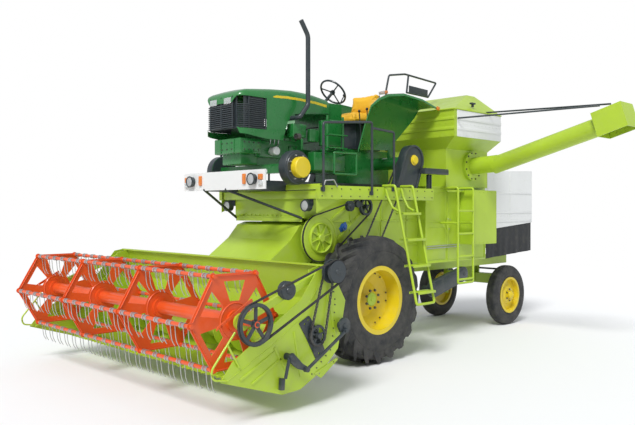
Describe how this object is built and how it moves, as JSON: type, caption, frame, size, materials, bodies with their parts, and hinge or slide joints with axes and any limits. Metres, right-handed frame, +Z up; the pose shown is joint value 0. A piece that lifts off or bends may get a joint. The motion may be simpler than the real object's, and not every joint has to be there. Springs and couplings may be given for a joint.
{
  "type": "tractor mounted combine harvester",
  "caption": "Combine harvester built round a farm tractor, with a reel header, threshing body, grain tank, swinging unloading auger and steered rear wheels.",
  "frame": {"origin": "on the ground below the middle of the whole machine's bounding box", "axes": "+X to the machine's left, +Y to its rear, +Z up; the drive axle is at x -0.58, y -0.701"},
  "size_m": [4.8318, 7.27, 3.9038],
  "materials": {
    "lime_paint": "gloss",
    "tractor_green": "gloss",
    "reel_orange": "gloss",
    "rim_yellow": "gloss",
    "dark_paint": "satin",
    "white_paint": "gloss",
    "tyre": "matt",
    "seat_yellow": "satin",
    "black_rubber": "matt",
    "galvanised": "satin"
  },
  "bodies": {
    "chassis": {"main_frame": "lime_paint", "drive_axle": "lime_paint", "rear_axle": "lime_paint", "thresher_body": "lime_paint", "deck_frame": "lime_paint", "front_board": "white_paint", "feeder_apron": "black_rubber", "tractor_chassis": "tractor_green", "engine": "tractor_green", "tractor_front_axle": "tractor_green", "grille": "dark_paint", "cowl": "tractor_green", "exhaust": "dark_paint", "steering_wheel": "dark_paint", "seat": "seat_yellow", "seat_frame": "dark_paint", "fenders": "tractor_green", "grain_tank": "lime_paint", "tank_panel": "white_paint", "elevator_head": "lime_paint", "rear_hood": "white_paint", "hood_curtain": "black_rubber", "tool_box": "lime_paint", "ladders": "lime_paint", "hand_rails": "dark_paint", "belt_drives": "dark_paint", "drive_chains": "dark_paint", "work_lamps": "dark_paint"},
    "bonnet": {"bonnet": "tractor_green"},
    "tool_door": {"tool_door": "lime_paint"},
    "drive_wheel_left": {"drive_tyre_left": "tyre", "drive_rim_left": "rim_yellow"},
    "drive_wheel_right": {"drive_tyre_right": "tyre", "drive_rim_right": "rim_yellow"},
    "knuckle_left": {"knuckle_left": "lime_paint"},
    "knuckle_right": {"knuckle_right": "lime_paint"},
    "tie_rod": {"tie_rod": "lime_paint"},
    "rear_wheel_left": {"rear_tyre_left": "tyre", "rear_rim_left": "rim_yellow"},
    "rear_wheel_right": {"rear_tyre_right": "tyre", "rear_rim_right": "rim_yellow"},
    "header": {"feeder_hood": "lime_paint", "header_pan": "lime_paint", "cutter_bar": "lime_paint", "header_drive": "dark_paint"},
    "header_auger": {"header_auger": "lime_paint"},
    "reel_arms": {"reel_arms": "lime_paint"},
    "reel": {"reel": "reel_orange", "reel_pulley": "dark_paint"},
    "lift_barrels": {"lift_barrels": "dark_paint"},
    "lift_rods": {"lift_rods": "galvanised"},
    "unloader": {"unloader": "lime_paint", "unloader_stays": "lime_paint"},
    "reel_bat_1": {"reel_bat_1": "galvanised"},
    "reel_bat_2": {"reel_bat_2": "galvanised"},
    "reel_bat_3": {"reel_bat_3": "galvanised"},
    "reel_bat_4": {"reel_bat_4": "galvanised"},
    "reel_bat_5": {"reel_bat_5": "galvanised"},
    "reel_bat_6": {"reel_bat_6": "galvanised"}
  },
  "joints": [
    {"name": "drive_wheel_left_turn", "type": "hinge", "parent": "chassis", "child": "drive_wheel_left", "pos_m": [0.355, -0.701, 0.72], "axis": [1, 0, 0], "continuous": true},
    {"name": "drive_wheel_right_turn", "type": "hinge", "parent": "chassis", "child": "drive_wheel_right", "pos_m": [-1.515, -0.701, 0.72], "axis": [1, 0, 0], "continuous": true},
    {"name": "steering_left", "type": "hinge", "parent": "chassis", "child": "knuckle_left", "pos_m": [-0.11, 2.799, 0.675], "axis": [0, 0, 1], "range_deg": [-35, 35]},
    {"name": "steering_right", "type": "hinge", "parent": "chassis", "child": "knuckle_right", "pos_m": [-1.05, 2.799, 0.675], "axis": [0, 0, 1], "range_deg": [-35, 35]},
    {"name": "tie_rod_pivot", "type": "hinge", "parent": "knuckle_left", "child": "tie_rod", "pos_m": [-0.11, 2.959, 0.816], "axis": [0, 0, 1], "range_deg": [-35, 35]},
    {"name": "rear_wheel_left_turn", "type": "hinge", "parent": "knuckle_left", "child": "rear_wheel_left", "pos_m": [0.04, 2.799, 0.4425], "axis": [1, 0, 0], "continuous": true},
    {"name": "rear_wheel_right_turn", "type": "hinge", "parent": "knuckle_right", "child": "rear_wheel_right", "pos_m": [-1.2, 2.799, 0.4425], "axis": [1, 0, 0], "continuous": true},
    {"name": "header_lift", "type": "hinge", "parent": "chassis", "child": "header", "pos_m": [-0.58, -1.206, 1.419], "axis": [-1, 0, 0], "range_deg": [-5, 12]},
    {"name": "auger_turn", "type": "hinge", "parent": "header", "child": "header_auger", "pos_m": [-0.58, -2.441, 0.57], "axis": [1, 0, 0], "continuous": true},
    {"name": "reel_lift", "type": "hinge", "parent": "header", "child": "reel_arms", "pos_m": [-0.58, -2.321, 1.16], "axis": [-1, 0, 0], "range_deg": [0, 10]},
    {"name": "reel_turn", "type": "hinge", "parent": "reel_arms", "child": "reel", "pos_m": [-0.58, -3.18, 0.831], "axis": [1, 0, 0], "continuous": true},
    {"name": "lift_barrel_pivot", "type": "hinge", "parent": "chassis", "child": "lift_barrels", "pos_m": [-0.58, -1.021, 0.85], "axis": [-1, 0, 0], "range_deg": [-5, 11]},
    {"name": "lift_rod_slide", "type": "slide", "parent": "lift_barrels", "child": "lift_rods", "axis": [0, -0.9855, -0.1694], "range_m": [-0.06, 0.13]},
    {"name": "unloader_swing", "type": "hinge", "parent": "chassis", "child": "unloader", "pos_m": [0.232, 1.834, 2.335], "axis": [0, 0, 1], "range_deg": [0, 85]},
    {"name": "tool_door_hinge", "type": "hinge", "parent": "chassis", "child": "tool_door", "pos_m": [0.372, 1.997, 1.63], "axis": [0, 0, 1], "range_deg": [0, 110]},
    {"name": "bonnet_hinge", "type": "hinge", "parent": "chassis", "child": "bonnet", "pos_m": [-0.58, -0.711, 3.065], "axis": [-1, 0, 0], "range_deg": [0, 40]},
    {"name": "reel_bat_1_turn", "type": "hinge", "parent": "reel", "child": "reel_bat_1", "pos_m": [-0.58, -2.748, 0.831], "axis": [1, 0, 0], "continuous": true},
    {"name": "reel_bat_2_turn", "type": "hinge", "parent": "reel", "child": "reel_bat_2", "pos_m": [-0.58, -2.964, 1.20512], "axis": [1, 0, 0], "continuous": true},
    {"name": "reel_bat_3_turn", "type": "hinge", "parent": "reel", "child": "reel_bat_3", "pos_m": [-0.58, -3.396, 1.20512], "axis": [1, 0, 0], "continuous": true},
    {"name": "reel_bat_4_turn", "type": "hinge", "parent": "reel", "child": "reel_bat_4", "pos_m": [-0.58, -3.612, 0.831], "axis": [1, 0, 0], "continuous": true},
    {"name": "reel_bat_5_turn", "type": "hinge", "parent": "reel", "child": "reel_bat_5", "pos_m": [-0.58, -3.396, 0.45688], "axis": [1, 0, 0], "continuous": true},
    {"name": "reel_bat_6_turn", "type": "hinge", "parent": "reel", "child": "reel_bat_6", "pos_m": [-0.58, -2.964, 0.45688], "axis": [1, 0, 0], "continuous": true}
  ],
  "couplings": [
    {"joint": "steering_right", "follows": "steering_left", "ratio": 1},
    {"joint": "tie_rod_pivot", "follows": "steering_left", "ratio": -1},
    {"joint": "lift_barrel_pivot", "follows": "header_lift", "ratio": 0.83},
    {"joint": "lift_rod_slide", "follows": "header_lift", "m_per_rad": 0.585},
    {"joint": "reel_bat_1_turn", "follows": "reel_turn", "ratio": -1},
    {"joint": "reel_bat_2_turn", "follows": "reel_turn", "ratio": -1},
    {"joint": "reel_bat_3_turn", "follows": "reel_turn", "ratio": -1},
    {"joint": "reel_bat_4_turn", "follows": "reel_turn", "ratio": -1},
    {"joint": "reel_bat_5_turn", "follows": "reel_turn", "ratio": -1},
    {"joint": "reel_bat_6_turn", "follows": "reel_turn", "ratio": -1}
  ]
}
